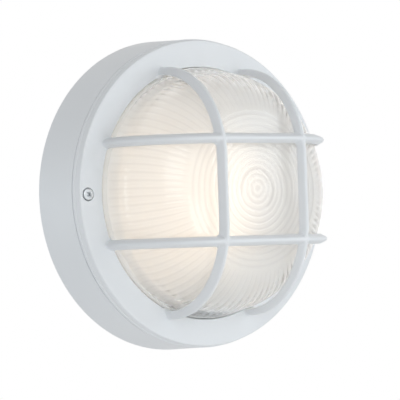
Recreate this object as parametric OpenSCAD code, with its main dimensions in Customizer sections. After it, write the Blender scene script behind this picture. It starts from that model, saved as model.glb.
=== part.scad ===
// Round bulkhead wall light: a cast housing, a ribbed glass dome and a cast guard.
// The light is drawn lying on its back, with the wall at z = 0, and on_wall() stands it up,
// so that it hangs on the plane y = 0 and looks along -Y, with +Z up.

/* [Housing] */
// Diameter of the back edge, at the wall
body_d = 254; // [252:1:300]
// Height from the wall to the seam under the bezel
housing_h = 43; // [42:0.5:60]
// How much the side leans in between the wall and the seam
side_draft = 2.2; // [1:0.2:4]
// Wall thickness of the casting
wall_t = 3; // [2.5:0.1:3.5]
// Thickness of the rim that carries the bezel
rim_t = 3.8; // [3.2:0.1:4.4]
// Height of the rim above the glass seat
rim_rise = 5.5; // [4.5:0.1:7]
// Space between the pan floor and the wall
floor_gap = 2; // [1.5:0.1:4]
// Height of the bosses that carry the reflector and the lampholder bracket
boss_h = 5.5; // [5:0.1:8]
// Stiffening webs in the channel behind the glass seat
web_count = 8; // [4:2:16]
// Thickness of a web
web_t = 2.5; // [2:0.1:4]
// Depth of the groove along the seam
seam_groove = 0.9; // [0.3:0.1:1.2]

/* [Mounting] */
// Distance between the two wall screw holes
wall_hole_pitch = 88.9; // [70:0.1:100]
// Diameter of a wall screw hole
wall_hole_d = 5.2; // [4:0.1:7]
// Diameter of the cable hole in the pan floor
entry_d = 22; // [16:0.5:30]
// Bore of the grommet in that hole
cable_d = 9; // [5:0.5:11]
// Distance of the wall gasket from the edge of the pan
wall_gasket_inset = 5; // [1:0.5:20]
// Width of the wall gasket
wall_gasket_w = 14; // [8:1:20]

/* [Glass] */
// Radial distance from the back edge of the housing to the glass
glass_inset = 30; // [29.5:0.5:36]
// Height of the dome's top above the wall
glass_top = 118.5; // [112:0.5:140]
// Thickness of the glass
glass_t = 3.6; // [2.5:0.1:4]
// Radius of the rounded shoulder
shoulder_r = 50; // [42:1:56]
// Radius of the slightly domed front
crown_r = 456; // [300:1:900]
// How much the side widens from the shoulder down to the bezel
glass_flare = 3; // [1:0.1:3.4]
// Width of the flange outside the dome
flange_w = 9.2; // [7:0.1:9.2]
// Thickness of the flange
flange_t = 4.6; // [3.5:0.1:5.5]
// Number of ribs round the side
rib_count = 120; // [80:2:140]
// Depth of the valleys between the ribs
rib_depth = 0.8; // [0.3:0.1:1.2]
// Number of rings on the front
ring_count = 12; // [6:1:12]
// Distance from one ring to the next
ring_pitch = 5.2; // [3:0.1:5.3]
// Depth of the grooves between the rings
ring_depth = 0.5; // [0.2:0.1:0.9]

/* [Gasket] */
// Thickness of the rubber above and below the glass flange
gasket_leg = 2.2; // [1.5:0.1:2.6]
// Thickness of the rubber outside the flange
gasket_web = 1.8; // [1:0.1:1.8]

/* [Bezel] */
// Height from the seam to the face
bezel_h = 8.6; // [8:0.1:12]
// Thickness of the face plate
plate_t = 3.6; // [3:0.1:4]
// How much the face is smaller in radius than the lip
face_inset = 1.4; // [0.8:0.1:3]
// Height of the lip above the seam
lip_h = 3; // [2:0.1:4.5]
// Radial gap between the glass and the bezel opening
opening_gap = 2; // [1.8:0.1:3.4]
// Rounding of the face's edges
edge_r = 1.4; // [0.5:0.1:1.8]

/* [Guard] */
// Distance of each bar from the centre line
bar_offset = 39.5; // [30:0.5:46]
// Width of a bar at its back
bar_w = 8.6; // [6:0.1:10]
// Thickness of a bar from back to front
bar_t = 6.4; // [5:0.1:10]
// Radius of the rounded front edge of a bar
nose_r = 2.1; // [1.5:0.1:2.8]
// Gap between the base of the glass and the legs of the bars
leg_gap = 0.6; // [0.5:0.1:4]
// Gap between the glass and the bars at the front
front_gap = 7.6; // [5:0.1:20]
// How much the inner corner of a bar is larger in radius than the glass shoulder
corner_extra = 16; // [6:0.5:16]

/* [Cover screws] */
// Thread diameter
cover_screw_d = 4; // [3:0.5:5]
// Length under the head
cover_screw_l = 24; // [14:1:26]
// Diameter of the head
cover_head_d = 8; // [6.5:0.1:9]
// Height of the head
cover_head_h = 2.3; // [1.8:0.1:2.5]
// Diameter of the pocket for the head
pocket_d = 12.2; // [10.8:0.1:12.4]
// Distance of the screw axis from the inside of the rim
cover_inset = 5.6; // [5.5:0.1:5.8]
// Thickness of the sealing washer
washer_t = 1; // [0.6:0.1:1.2]

/* [Lamp] */
// Height of the lamp axis above the wall
lamp_z = 43; // [43:0.5:48]
// Diameter of the bulb
bulb_d = 60; // [45:1:60]
// Length of the bulb
bulb_l = 108; // [100:1:114]
// Diameter of the bulb's screw base
base_d = 26; // [20:0.5:26]
// Outer diameter of the lampholder
holder_d = 39; // [37:0.5:41]
// Length of the lampholder
holder_l = 40; // [38:0.5:44]
// Room between the lampholder's back end and the wall of the pan
holder_gap = 13; // [13:0.5:18]
// Length of a screw that clamps a lead in the lampholder
terminal_screw_l = 12; // [10:0.5:13]

/* [Reflector] */
// Thickness of the sheet steel
sheet_t = 0.8; // [0.5:0.1:1]
// Radius of the flat floor
tray_floor_r = 70; // [66:1:76]
// Height of the sloping side
tray_rise = 21; // [15:0.5:22]
// Gap between the tray's rim and the pan wall
tray_gap = 1.5; // [0.5:0.1:4]
// Distance of each tray screw from the centre
tray_screw_r = 62; // [58:0.5:64]

/* [Terminal block] */
// Length of the block
block_l = 22; // [20:0.5:26]
// Width of the block
block_w = 16; // [14:0.5:18]
// Height of the block
block_h = 13; // [12:0.5:15]
// Distance of the block from the centre of the light
block_y = 62; // [60:0.5:64]
// Distance between the two poles
pole_pitch = 12; // [11:0.5:13]
// Diameter of a lead
lead_d = 2.6; // [2:0.1:2.8]

/* [Hidden] */
$fn = 96;

// Overlap that lets a cut run past a face
cut = 1;
// Clearance of a part that slides in
fit_gap = 0.2;
// Clearance of a screw in its thread
thread_gap = 0.05;

// Housing levels and radii
body_r = body_d / 2;
rim_r = body_r - side_draft;
rim_in = rim_r - rim_t;
seat_z = housing_h - rim_rise;
floor_z = floor_gap + wall_t;
boss_z = floor_z + boss_h;

// Glass levels and radii
glass_r = body_r - glass_inset;
glass_base_r = glass_r + glass_flare;
flange_r = glass_r + flange_w;
flange_z = seat_z + gasket_leg;
flange_top = flange_z + flange_t;
gasket_r = flange_r + fit_gap + gasket_web;
gasket_top = flange_top + gasket_leg;
pan_r = glass_r + 1;
shoulder_x = glass_r - shoulder_r;
shoulder_tilt = asin(shoulder_x / (crown_r - shoulder_r));
shoulder_z = glass_top - crown_r + (crown_r - shoulder_r) * cos(shoulder_tilt);
rib_end_gap = 4.9;
rib_end_r = max(ring_count * ring_pitch, crown_r * sin(shoulder_tilt)) + rib_end_gap;
rib_end = acos((rib_end_r - shoulder_x) / shoulder_r);

// Bezel levels and radii
face_z = housing_h + bezel_h;
plate_z = face_z - plate_t;
face_r = rim_r - face_inset;
opening_r = glass_base_r + opening_gap;

// Level of the foot of the ribs on the glass
rib_foot_z = min(face_z, (flange_top + shoulder_z) / 2);

// Guard levels: the inner face of the legs and of the front
leg_in = sqrt(pow(glass_base_r + leg_gap, 2) - pow(bar_offset - bar_w / 2, 2));
front_in = glass_top + front_gap;
corner_in = shoulder_r + corner_extra;
corner_y = leg_in - corner_in;
corner_z = front_in - corner_in;

// Cover screws
cover_r = rim_in - cover_inset;
cover_boss_r = 5.8;
bezel_boss_r = pocket_d / 2 + 0.3;
cover_boss_l = cover_screw_l + 8;

// Wall gasket and grommet
wall_gasket_r = pan_r - wall_gasket_inset;
grommet_flange = 3;
grommet_head_t = 2.2;

// Small screws of the inner parts
small_screw_d = 3.5;
small_head_d = 6.6;
small_head_h = 2.2;
small_boss_r = 4;
small_screw_l = boss_h;

// Lampholder and bulb, measured along the lamp axis from the centre of the light
bracket_t = 1.5;
bracket_w = 36;
bracket_foot = 34;
bracket_top = 15;
bracket_hole_run = 23;
bracket_hole_x = 10;
holder_back = pan_r - holder_gap;
bracket_hole_y = -holder_back + bracket_hole_run;
holder_floor = 15;
holder_screw_x = 8;
holder_screw_l = 10;
socket_t = 0.5;
socket_l = 22;
contact_t = 0.6;
contact_lift = 1.2;
contact_r = 4.6;
holder_bore_r = base_d / 2 + 1.4;
bulb_tip = -holder_back + holder_floor + contact_t + contact_lift;
terminal_run = 7;
terminal_y = -holder_back + terminal_run;
terminal_z = lamp_z - 5;
terminal_x = 13;
terminal_screw_d = 3;
bulb_neck_l = 30;

// Reflector
tray_z = boss_z;
tray_r = pan_r - tray_gap;
tray_notch_w = 52;
tray_notch_gap = 10;
tray_notch_y = -holder_back - bracket_t + bracket_foot + tray_notch_gap;
tray_window_w = 44;
tray_window_margin = 5;
tray_access_r = 6;

// Terminal block and leads
block_z = floor_z + 2.5;
barrel_z = block_z + 5.5;
barrel_r = 2.6;
barrel_bore_r = 1.7;
barrel_l = block_w - 1;
clamp_screw_d = 2.6;
clamp_screw_x = 4;
fixing_screw_d = 3;
earth_x = 30;
earth_y = block_y + 4;
earth_screw_d = 4;
earth_washer_t = 0.8;
lead_r = lead_d / 2;
lead_z = floor_z + lead_r + 1.2;
lead_sides = 8;
lead_pole_points = 3;
lead_rise_x = bracket_w / 2 + 5.5;
lead_run = terminal_y - block_y;

// Points of the lead on the right, from the terminal block to the lampholder
lead_route = [
  [clamp_screw_x - 2, 0, barrel_z], [block_w / 2 + 3, 0, barrel_z], [17, -1, lead_z],
  [26, 0.1 * lead_run, lead_z], [31, 0.28 * lead_run, lead_z], [32, 0.44 * lead_run, lead_z],
  [31, 0.64 * lead_run, lead_z], [27, 0.84 * lead_run, lead_z],
  [lead_rise_x, lead_run + 8, lead_z], [lead_rise_x, lead_run, lead_z + 6],
  [lead_rise_x, lead_run, terminal_z - 5], [lead_rise_x - 1, lead_run, terminal_z],
  [terminal_x - 1, lead_run, terminal_z]
];

// Stands a part that was drawn on its back up against the wall
module on_wall() {
  rotate([90, 0, 0]) children();
}

// A ring with a flat top and bottom
module ring(outer_r, inner_r, height) {
  difference() {
    cylinder(r = outer_r, h = height);
    translate([0, 0, -cut]) cylinder(r = inner_r, h = height + 2 * cut);
  }
}

// A pan-head screw with its seat at z = 0 and a cross recess in its head
module pan_screw(thread_d, length, head_d, head_h) {
  slot_w = head_d * 0.13;
  slot_l = head_d * 0.52;
  crown = head_h * 0.35;
  difference() {
    union() {
      translate([0, 0, -length]) cylinder(d = thread_d, h = length + cut / 2);
      cylinder(d = head_d, h = head_h - crown);
      translate([0, 0, head_h - crown]) cylinder(d1 = head_d, d2 = head_d * 0.72, h = crown);
    }
    for (turn = [0, 90])
      rotate([0, 0, turn])
        translate([-slot_l / 2, -slot_w / 2, head_h * 0.35]) cube([slot_l, slot_w, head_h]);
  }
}

// Repeats its children on both sides of the light's centre line
module both_sides(x) {
  for (side = [-1, 1]) translate([side * x, 0, 0]) children();
}

// Repeats its children at the four tray screws
module at_tray_screws() {
  for (turn = [45:90:315]) rotate([0, 0, turn]) translate([tray_screw_r, 0, 0]) children();
}

// Turns its children to run along the lamp axis, with z = 0 at the given distance
module along_lamp(distance) {
  translate([0, distance, lamp_z]) rotate([-90, 0, 0]) children();
}

function arc(centre, radius, from, to, steps) = [
  for (i = [0:steps])
    let (a = from + (to - from) * i / steps)
    centre + radius * [cos(a), sin(a)]
];

function curve(p0, p1, p2, p3, steps) = [
  for (i = [1:steps])
    let (t = i / steps, s = 1 - t)
    s * s * s * p0 + 3 * s * s * t * p1 + 3 * s * t * t * p2 + t * t * t * p3
];

// Half section of the housing: skirt, rim, glass seat, pan wall and pan floor
function housing_section() = [
  [body_r, 0], [rim_r, housing_h - seam_groove], [rim_r - seam_groove, housing_h],
  [rim_in, housing_h], [rim_in, seat_z], [pan_r, seat_z], [pan_r, floor_z], [0, floor_z],
  [0, floor_gap], [pan_r + wall_t, floor_gap], [pan_r + wall_t, seat_z - wall_t],
  [rim_r - wall_t, seat_z - wall_t], [body_r - wall_t, 0]
];

// One web across the channel behind the glass seat
module rear_web() {
  translate([pan_r + wall_t / 2, -web_t / 2, floor_gap + 2])
    cube([rim_r - pan_r - 1.5 * wall_t, web_t, seat_z - wall_t - floor_gap - 1]);
}

module housing_bosses() {
  both_sides(cover_r)
    translate([0, 0, housing_h - cover_boss_l]) cylinder(r = cover_boss_r, h = cover_boss_l);
  translate([0, 0, floor_z - cut]) {
    at_tray_screws() cylinder(r = small_boss_r, h = boss_h + cut);
    translate([0, bracket_hole_y, 0])
      both_sides(bracket_hole_x) cylinder(r = small_boss_r, h = boss_h + cut);
    translate([0, block_y, 0]) cylinder(r = small_boss_r + 1, h = block_z - floor_z + cut);
    translate([earth_x, earth_y, 0]) cylinder(r = small_boss_r + 1, h = 2 + cut);
  }
}

module housing_holes() {
  both_sides(cover_r)
    translate([0, 0, housing_h - cover_screw_l - 1])
      cylinder(d = cover_screw_d + 2 * thread_gap, h = cover_screw_l + 1 + cut);
  both_sides(wall_hole_pitch / 2)
    translate([0, 0, floor_gap - cut]) cylinder(d = wall_hole_d, h = wall_t + 2 * cut);
  translate([0, 0, floor_gap - cut]) cylinder(d = entry_d, h = wall_t + 2 * cut);
  translate([0, 0, floor_z]) {
    at_tray_screws() cylinder(d = small_screw_d + 2 * thread_gap, h = boss_h + cut);
    translate([0, bracket_hole_y, 0])
      both_sides(bracket_hole_x)
        cylinder(d = small_screw_d + 2 * thread_gap, h = boss_h + cut);
  }
  translate([0, block_y, floor_gap + 1])
    cylinder(d = fixing_screw_d + 2 * thread_gap, h = block_z - floor_gap);
  translate([earth_x, earth_y, floor_gap + 1])
    cylinder(d = earth_screw_d + 2 * thread_gap, h = wall_t + 2);
}

module base_housing() {
  color("whitesmoke") on_wall() difference() {
    union() {
      rotate_extrude($fn = 180) polygon(housing_section());
      for (i = [0:web_count - 1]) rotate([0, 0, 360 * i / web_count]) rear_web();
      housing_bosses();
    }
    housing_holes();
  }
}

module wall_gasket() {
  color("dimgray") on_wall()
    ring(wall_gasket_r, wall_gasket_r - wall_gasket_w, floor_gap);
}

// A grommet whose two flanges hold the edge of the cable hole
module cable_grommet() {
  color("black") on_wall() difference() {
    union() {
      cylinder(d = entry_d + 2 * grommet_flange, h = floor_gap);
      cylinder(d = entry_d - fit_gap, h = floor_z + cut);
      translate([0, 0, floor_z])
        cylinder(d = entry_d + 2 * grommet_flange, h = grommet_head_t);
    }
    translate([0, 0, -cut]) cylinder(d = cable_d, h = floor_z + grommet_head_t + 2 * cut);
  }
}

// Half section of the tray: floor, sloping side and flat rim
function tray_section() =
  let (rim_w = 2.5, low = tray_z, high = tray_z + tray_rise)
  [
    [0, low], [tray_floor_r, low], [tray_r - rim_w, high], [tray_r, high],
    [tray_r, high + sheet_t], [tray_r - rim_w - sheet_t / 2, high + sheet_t],
    [tray_floor_r - sheet_t / 2, low + sheet_t], [0, low + sheet_t]
  ];

module reflector() {
  window_l = block_l + 2 * tray_window_margin;
  color("white") on_wall() difference() {
    rotate_extrude() polygon(tray_section());
    translate([0, 0, tray_z - cut]) {
      translate([-tray_notch_w / 2, tray_notch_y - body_r, 0])
        cube([tray_notch_w, body_r, tray_rise + 3 * cut]);
      translate([-tray_window_w / 2, block_y - window_l / 2, 0])
        cube([tray_window_w + earth_x / 2, window_l, tray_rise + 3 * cut]);
      both_sides(wall_hole_pitch / 2) cylinder(r = tray_access_r, h = 3 * cut);
      at_tray_screws() cylinder(d = small_screw_d + 2 * fit_gap, h = 3 * cut);
    }
  }
}

module reflector_screws() {
  color("silver") on_wall()
    at_tray_screws()
      translate([0, 0, tray_z + sheet_t])
        pan_screw(small_screw_d, small_screw_l, small_head_d, small_head_h);
}

// An angle: its foot stands on two bosses and its upright carries the lampholder
module lampholder_bracket() {
  back = -holder_back - bracket_t;
  color("silver") on_wall() difference() {
    translate([-bracket_w / 2, back, boss_z]) {
      cube([bracket_w, bracket_foot, bracket_t]);
      cube([bracket_w, bracket_t, lamp_z + bracket_top - boss_z]);
    }
    translate([0, bracket_hole_y, boss_z - cut])
      both_sides(bracket_hole_x)
        cylinder(d = small_screw_d + 2 * fit_gap, h = bracket_t + 2 * cut);
    along_lamp(back - cut)
      both_sides(holder_screw_x)
        cylinder(d = small_screw_d + 2 * fit_gap, h = bracket_t + 2 * cut);
  }
}

module bracket_screws() {
  color("silver") on_wall()
    translate([0, bracket_hole_y, boss_z + bracket_t])
      both_sides(bracket_hole_x)
        pan_screw(small_screw_d, small_screw_l, small_head_d, small_head_h);
}

// A porcelain barrel with a waisted back end and a bore for the screw shell
module lampholder_body() {
  base_l = 13;
  color("ivory") on_wall() difference() {
    along_lamp(-holder_back) {
      cylinder(d = holder_d, h = base_l);
      translate([0, 0, base_l]) cylinder(d1 = holder_d, d2 = holder_d - 3, h = 3);
      translate([0, 0, base_l + 3]) cylinder(d = holder_d - 3, h = holder_l - base_l - 6);
      translate([0, 0, holder_l - 3]) cylinder(d1 = holder_d - 3, d2 = holder_d - 5, h = 3);
    }
    along_lamp(-holder_back + holder_floor) cylinder(r = holder_bore_r, h = holder_l);
    along_lamp(-holder_back - cut)
      both_sides(holder_screw_x)
        cylinder(d = small_screw_d + 2 * thread_gap, h = holder_screw_l + 1 + cut);
    for (side = [0, 1]) mirror([side, 0, 0]) {
      translate([terminal_x - 2, terminal_y, terminal_z])
        rotate([0, 90, 0]) cylinder(r = lead_r + fit_gap, h = holder_d);
      translate([terminal_x + 1, terminal_y, terminal_z])
        cylinder(d = terminal_screw_d + 2 * thread_gap, h = holder_d);
    }
  }
}

module holder_screws() {
  color("silver") on_wall()
    along_lamp(-holder_back - bracket_t)
      both_sides(holder_screw_x)
        rotate([180, 0, 0])
          pan_screw(small_screw_d, holder_screw_l, small_head_d, small_head_h);
}

// Headless screws that clamp the lead ends in the porcelain
module holder_terminal_screws() {
  low = terminal_z + lead_r;
  color("goldenrod") on_wall()
    both_sides(terminal_x + 1)
      translate([0, terminal_y, low]) cylinder(d = terminal_screw_d, h = terminal_screw_l);
}

// A threaded shell with a turned-in floor
module socket_shell() {
  color("khaki") on_wall()
    along_lamp(-holder_back + holder_floor) difference() {
      cylinder(r = base_d / 2 + fit_gap + socket_t, h = socket_l);
      translate([0, 0, socket_t]) cylinder(r = base_d / 2 + fit_gap, h = socket_l);
      translate([0, 0, -cut]) cylinder(r = contact_r + 2.5, h = 3 * cut);
    }
}

// A plate with a raised button that meets the bulb's tip
module centre_contact() {
  color("khaki") on_wall()
    along_lamp(-holder_back + holder_floor) {
      cylinder(r = contact_r + 1, h = contact_t);
      translate([0, 0, contact_t]) cylinder(r = contact_r - 2, h = contact_lift);
    }
}

// Half section of the bulb from its tip to its top: contact, screw base, neck and globe
function bulb_section() =
  let (
    globe_r = bulb_d / 2,
    globe = [0, bulb_l - globe_r],
    base_r = base_d / 2,
    neck = [base_r + 1, bulb_neck_l],
    dip = -35,
    join = globe + globe_r * [cos(dip), sin(dip)],
    pull = (join[1] - neck[1]) / 2.5,
    leave = join + pull * [sin(dip), -cos(dip)]
  )
  concat(
    [[0, 0], [contact_r, 0], [contact_r, 1], [base_r - 1.5, 4], [base_r, 5], [base_r, 26]],
    [[base_r + 0.8, 27], neck],
    curve(neck, neck + [0, pull], leave, join, 8),
    arc(globe, globe_r, dip, 90, 16)
  );

module bulb() {
  color("lightyellow") on_wall()
    along_lamp(bulb_tip) rotate_extrude() polygon(bulb_section());
}

module at_poles() {
  for (side = [-1, 1])
    translate([0, block_y + side * pole_pitch / 2, barrel_z]) children();
}

module terminal_block() {
  color("ghostwhite") on_wall() difference() {
    translate([-block_w / 2, block_y - block_l / 2, block_z]) cube([block_w, block_l, block_h]);
    at_poles() {
      translate([-block_w, 0, 0]) rotate([0, 90, 0])
        cylinder(r = barrel_r + thread_gap, h = 2 * block_w);
      both_sides(clamp_screw_x) cylinder(d = clamp_screw_d + 1, h = block_h);
    }
    translate([0, block_y, block_z - cut])
      cylinder(d = fixing_screw_d + 2 * fit_gap, h = block_h + 2 * cut);
    translate([0, block_y, block_z + block_h / 2])
      cylinder(d = small_head_d - 0.6, h = block_h);
  }
}

module terminal_barrels() {
  color("goldenrod") on_wall()
    at_poles() difference() {
      translate([-barrel_l / 2, 0, 0]) rotate([0, 90, 0]) cylinder(r = barrel_r, h = barrel_l);
      translate([-block_w, 0, 0]) rotate([0, 90, 0])
        cylinder(r = barrel_bore_r, h = 2 * block_w);
      both_sides(clamp_screw_x) cylinder(d = clamp_screw_d + 2 * thread_gap, h = block_h);
    }
}

module terminal_clamp_screws() {
  screw_l = block_z + block_h - barrel_z - lead_r - 1;
  color("silver") on_wall()
    at_poles() both_sides(clamp_screw_x)
      translate([0, 0, lead_r]) difference() {
        cylinder(d = clamp_screw_d, h = screw_l);
        translate([-clamp_screw_d, -0.3, screw_l - 0.8]) cube([2 * clamp_screw_d, 0.6, 2]);
      }
}

module terminal_fixing_screw() {
  color("silver") on_wall()
    translate([0, block_y, block_z + block_h / 2])
      pan_screw(fixing_screw_d, block_h / 2 + block_z - floor_z + 1, small_head_d - 1.4, 2);
}

function unit(v) = v / norm(v);

// Cuts the corners of a route once, keeping its two ends
function softened(route) = concat(
  [route[0]],
  [
    for (i = [0:len(route) - 2])
      for (share = [0.25, 0.75])
        route[i] * (1 - share) + route[i + 1] * share
  ],
  [route[len(route) - 1]]
);

// Direction of a route at one of its points
function heading(route, i) =
  unit(route[min(i + 1, len(route) - 1)] - route[max(i - 1, 0)]);

// One ring of points square to the route
function route_ring(route, i, radius) =
  let (
    along = heading(route, i),
    side = unit(cross(along, [1, 1, 1])),
    other = cross(along, side)
  )
  [
    for (k = [0:lead_sides - 1])
      route[i] + radius * (cos(360 * k / lead_sides) * side + sin(360 * k / lead_sides) * other)
  ];

// A closed tube along a route
module tube(route, radius) {
  n = lead_sides;
  last = len(route) - 1;
  points = [for (i = [0:last]) each route_ring(route, i, radius)];
  walls = [
    for (i = [0:last - 1])
      for (k = [0:n - 1])
        let (a = i * n + k, b = i * n + (k + 1) % n)
        each [[a, a + n, b], [b, a + n, b + n]]
  ];
  ends = [[for (k = [0:n - 1]) k], [for (k = [n - 1:-1:0]) last * n + k]];
  polyhedron(points, concat(walls, ends));
}

// The right-hand lead, ending in the pole at the given side of the block
module lead(pole_side) {
  shift = pole_side * pole_pitch / 2;
  start = [
    for (i = [0:len(lead_route) - 1])
      lead_route[i] + [0, i < lead_pole_points ? shift : 0, 0]
  ];
  translate([0, block_y, 0]) tube(softened(softened(start)), lead_r);
}

module live_lead() {
  color("saddlebrown") on_wall() lead(-1);
}

module neutral_lead() {
  color("royalblue") on_wall() mirror([1, 0, 0]) lead(1);
}

module earth_screw() {
  color("goldenrod") on_wall()
    translate([earth_x, earth_y, floor_z + 2 + earth_washer_t])
      pan_screw(earth_screw_d, wall_t + 1, 7.5, 2.4);
}

// A cup washer that holds the earth wire under the screw head
module earth_washer() {
  color("gold") on_wall()
    translate([earth_x, earth_y, floor_z + 2])
      ring(4.6, earth_screw_d / 2 + fit_gap, earth_washer_t);
}

// Half section of the gasket: a U that holds the glass flange
function gasket_section() =
  let (slot_r = flange_r + fit_gap, low_r = pan_r + 1, high_r = opening_r - 1.5)
  [
    [low_r, seat_z], [gasket_r, seat_z], [gasket_r, gasket_top], [high_r, gasket_top],
    [high_r, flange_top], [slot_r, flange_top], [slot_r, flange_z], [low_r, flange_z]
  ];

module glass_gasket() {
  color("darkgray") on_wall() rotate_extrude($fn = 180) polygon(gasket_section());
}

// Height of the dome at a radius, for a surface that lies the given depth inside the glass
function dome_z(r, inside) =
  let (crown = crown_r - inside, shoulder = shoulder_r - inside)
  r < crown * sin(shoulder_tilt)
    ? glass_top - crown_r + sqrt(crown * crown - r * r)
    : shoulder_z + sqrt(max(0, shoulder * shoulder - pow(r - shoulder_x, 2)));

// A row of points round the glass is [radius, height, points, valley depth]
plain_n = rib_count / 2;
rib_n = rib_count * 2;

function shoulder_row(angle, inside, n, valley) = [
  shoulder_x + (shoulder_r - inside) * cos(angle),
  shoulder_z + (shoulder_r - inside) * sin(angle), n, valley
];

// Rows of the smooth inside, from the top down to the flange
function inside_rows() = concat(
  [for (share = [0.4, 0.9]) [share * shoulder_x, dome_z(share * shoulder_x, glass_t), plain_n, 0]],
  [for (angle = [75, 58, 42, 26, 12, 0]) shoulder_row(angle, glass_t, plain_n, 0)],
  [for (z = [rib_foot_z, flange_z]) [glass_base_r - glass_t, z, plain_n, 0]]
);

// Rows of the flange, from its bottom to its root on the dome
function flange_rows() = [
  [flange_r, flange_z, plain_n, 0], [flange_r, flange_top, plain_n, 0],
  [glass_base_r, flange_top, plain_n, 0]
];

// Rows of the side and shoulder, going up: the ribs begin at the bezel and soon grow deep
function rib_rows() = concat(
  [[glass_base_r, rib_foot_z, rib_n, 0]],
  [for (i = [0:5]) shoulder_row(rib_end * i / 5, 0, rib_n, rib_depth)]
);

// Rows of the ringed front, from its edge to its middle
function ring_rows() = [
  for (i = [ring_count:-1:1])
    for (half = [0, 0.5])
      let (r = (i - half) * ring_pitch)
      [r, dome_z(r, 0) - (half == 0 ? 0 : ring_depth), plain_n, 0]
];

function row_points(row) = [
  for (i = [0:row[2] - 1])
    let (a = 360 * i / row[2], r = row[0] - row[3] * (i % 2))
    [r * cos(a), r * sin(a), row[1]]
];

// Triangles between two rows whose counts are equal or differ by a whole factor
function band(a, na, b, nb) =
  let (n = min(na, nb), ka = na / n, kb = nb / n)
  [
    for (i = [0:n - 1])
      let (next_a = a + (i + 1) * ka % na, next_b = b + (i + 1) * kb % nb)
      each concat(
        [for (k = [0:ka - 1]) [a + i * ka + k, b + i * kb, a + (i * ka + k + 1) % na]],
        [for (k = [0:kb - 1]) [next_a, b + i * kb + k, b + (i * kb + k + 1) % nb]]
      )
  ];

// The glass as one closed skin, from the middle of its inside to the middle of its front
module glass_skin() {
  rows = concat(inside_rows(), flange_rows(), rib_rows(), ring_rows());
  last = len(rows) - 1;
  starts = [for (i = 0, s = 1; i <= last; s = s + rows[i][2], i = i + 1) s];
  total = starts[last] + rows[last][2];
  points = concat(
    [[0, 0, dome_z(0, glass_t)]],
    [for (row = rows) each row_points(row)],
    [[0, 0, glass_top]]
  );
  first_n = rows[0][2];
  last_n = rows[last][2];
  faces = concat(
    [for (i = [0:first_n - 1]) [0, 1 + i, 1 + (i + 1) % first_n]],
    [
      for (k = [0:last - 1])
        each band(starts[k], rows[k][2], starts[k + 1], rows[k + 1][2])
    ],
    [for (i = [0:last_n - 1]) [starts[last] + i, total, starts[last] + (i + 1) % last_n]]
  );
  polyhedron(points, faces);
}

module glass_dome() {
  color("lightcyan", 0.6) on_wall() glass_skin();
}

// Half section of the bezel: lip, side, rounded face, opening and clamping land
function bezel_section() = concat(
  [[rim_in, housing_h], [rim_r - seam_groove, housing_h], [rim_r, housing_h + seam_groove]],
  [[rim_r, housing_h + lip_h], [rim_r - 0.5, housing_h + lip_h + 0.4]],
  arc([face_r - edge_r, face_z - edge_r], edge_r, 10, 90, 4),
  arc([opening_r + edge_r, face_z - edge_r], edge_r, 90, 180, 4),
  [[opening_r, gasket_top], [gasket_r, gasket_top], [gasket_r, plate_z], [rim_in, plate_z]]
);

// Section of a guard bar: wide at its back, with a rounded front edge
function bar_section() =
  let (lean = atan2(bar_w / 2 - nose_r, bar_t - nose_r))
  concat(
    [[-bar_w / 2, 0], [bar_w / 2, 0]],
    arc([0, bar_t - nose_r], nose_r, lean, 180 - lean, 6)
  );

// One bar over the glass: a straight front, two round corners and two legs on the bezel
module guard_bar() {
  root_z = face_z - plate_t + 0.6;
  for (end = [0, 1]) mirror([0, end, 0]) {
    translate([0, 0, front_in]) rotate([-90, 0, 0])
      linear_extrude(corner_y) mirror([0, 1]) polygon(bar_section());
    translate([0, corner_y, corner_z]) rotate([0, -90, 0])
      rotate_extrude(angle = 90)
        translate([corner_in, 0]) rotate([0, 0, -90]) polygon(bar_section());
    translate([0, leg_in, root_z])
      linear_extrude(corner_z - root_z) polygon(bar_section());
  }
}

module guard_frame() {
  color("white") on_wall() difference() {
    union() {
      rotate_extrude($fn = 180) polygon(bezel_section());
      for (turn = [0, 90]) rotate([0, 0, turn]) both_sides(bar_offset) guard_bar();
      both_sides(cover_r)
        translate([0, 0, housing_h]) cylinder(r = bezel_boss_r, h = bezel_h - plate_t + cut);
    }
    both_sides(cover_r) {
      translate([0, 0, plate_z]) cylinder(d = pocket_d, h = plate_t + cut);
      translate([0, 0, housing_h - cut])
        cylinder(d = cover_screw_d + 2 * fit_gap, h = bezel_h + cut);
    }
  }
}

module cover_screws() {
  color("silver") on_wall()
    both_sides(cover_r)
      translate([0, 0, plate_z + washer_t])
        pan_screw(cover_screw_d, cover_screw_l, cover_head_d, cover_head_h);
}

module cover_screw_washers() {
  color("gray") on_wall()
    both_sides(cover_r)
      translate([0, 0, plate_z])
        ring(cover_head_d / 2 + 1, cover_screw_d / 2 + fit_gap, washer_t);
}

base_housing();
wall_gasket();
cable_grommet();
reflector();
reflector_screws();
lampholder_bracket();
bracket_screws();
lampholder_body();
holder_screws();
holder_terminal_screws();
socket_shell();
centre_contact();
bulb();
terminal_block();
terminal_barrels();
terminal_clamp_screws();
terminal_fixing_screw();
live_lead();
neutral_lead();
earth_screw();
earth_washer();
glass_gasket();
glass_dome();
guard_frame();
cover_screws();
cover_screw_washers();
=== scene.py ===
# %% [markdown]
# # A round bulkhead light, dressed in Blender
#
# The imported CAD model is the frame: it says where every part is and how large it may be. This
# file puts smooth surfaces and finishes on it. The real light has a die-cast body, a pressed
# glass dome with ribs and rings, and a cast guard of four crossed bars, all lit from inside.
# Every new piece is worked out with numpy as a function of two parameters and put into a mesh.

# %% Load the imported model
import math

import bpy
import numpy as np
from mathutils import Matrix, Vector


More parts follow.
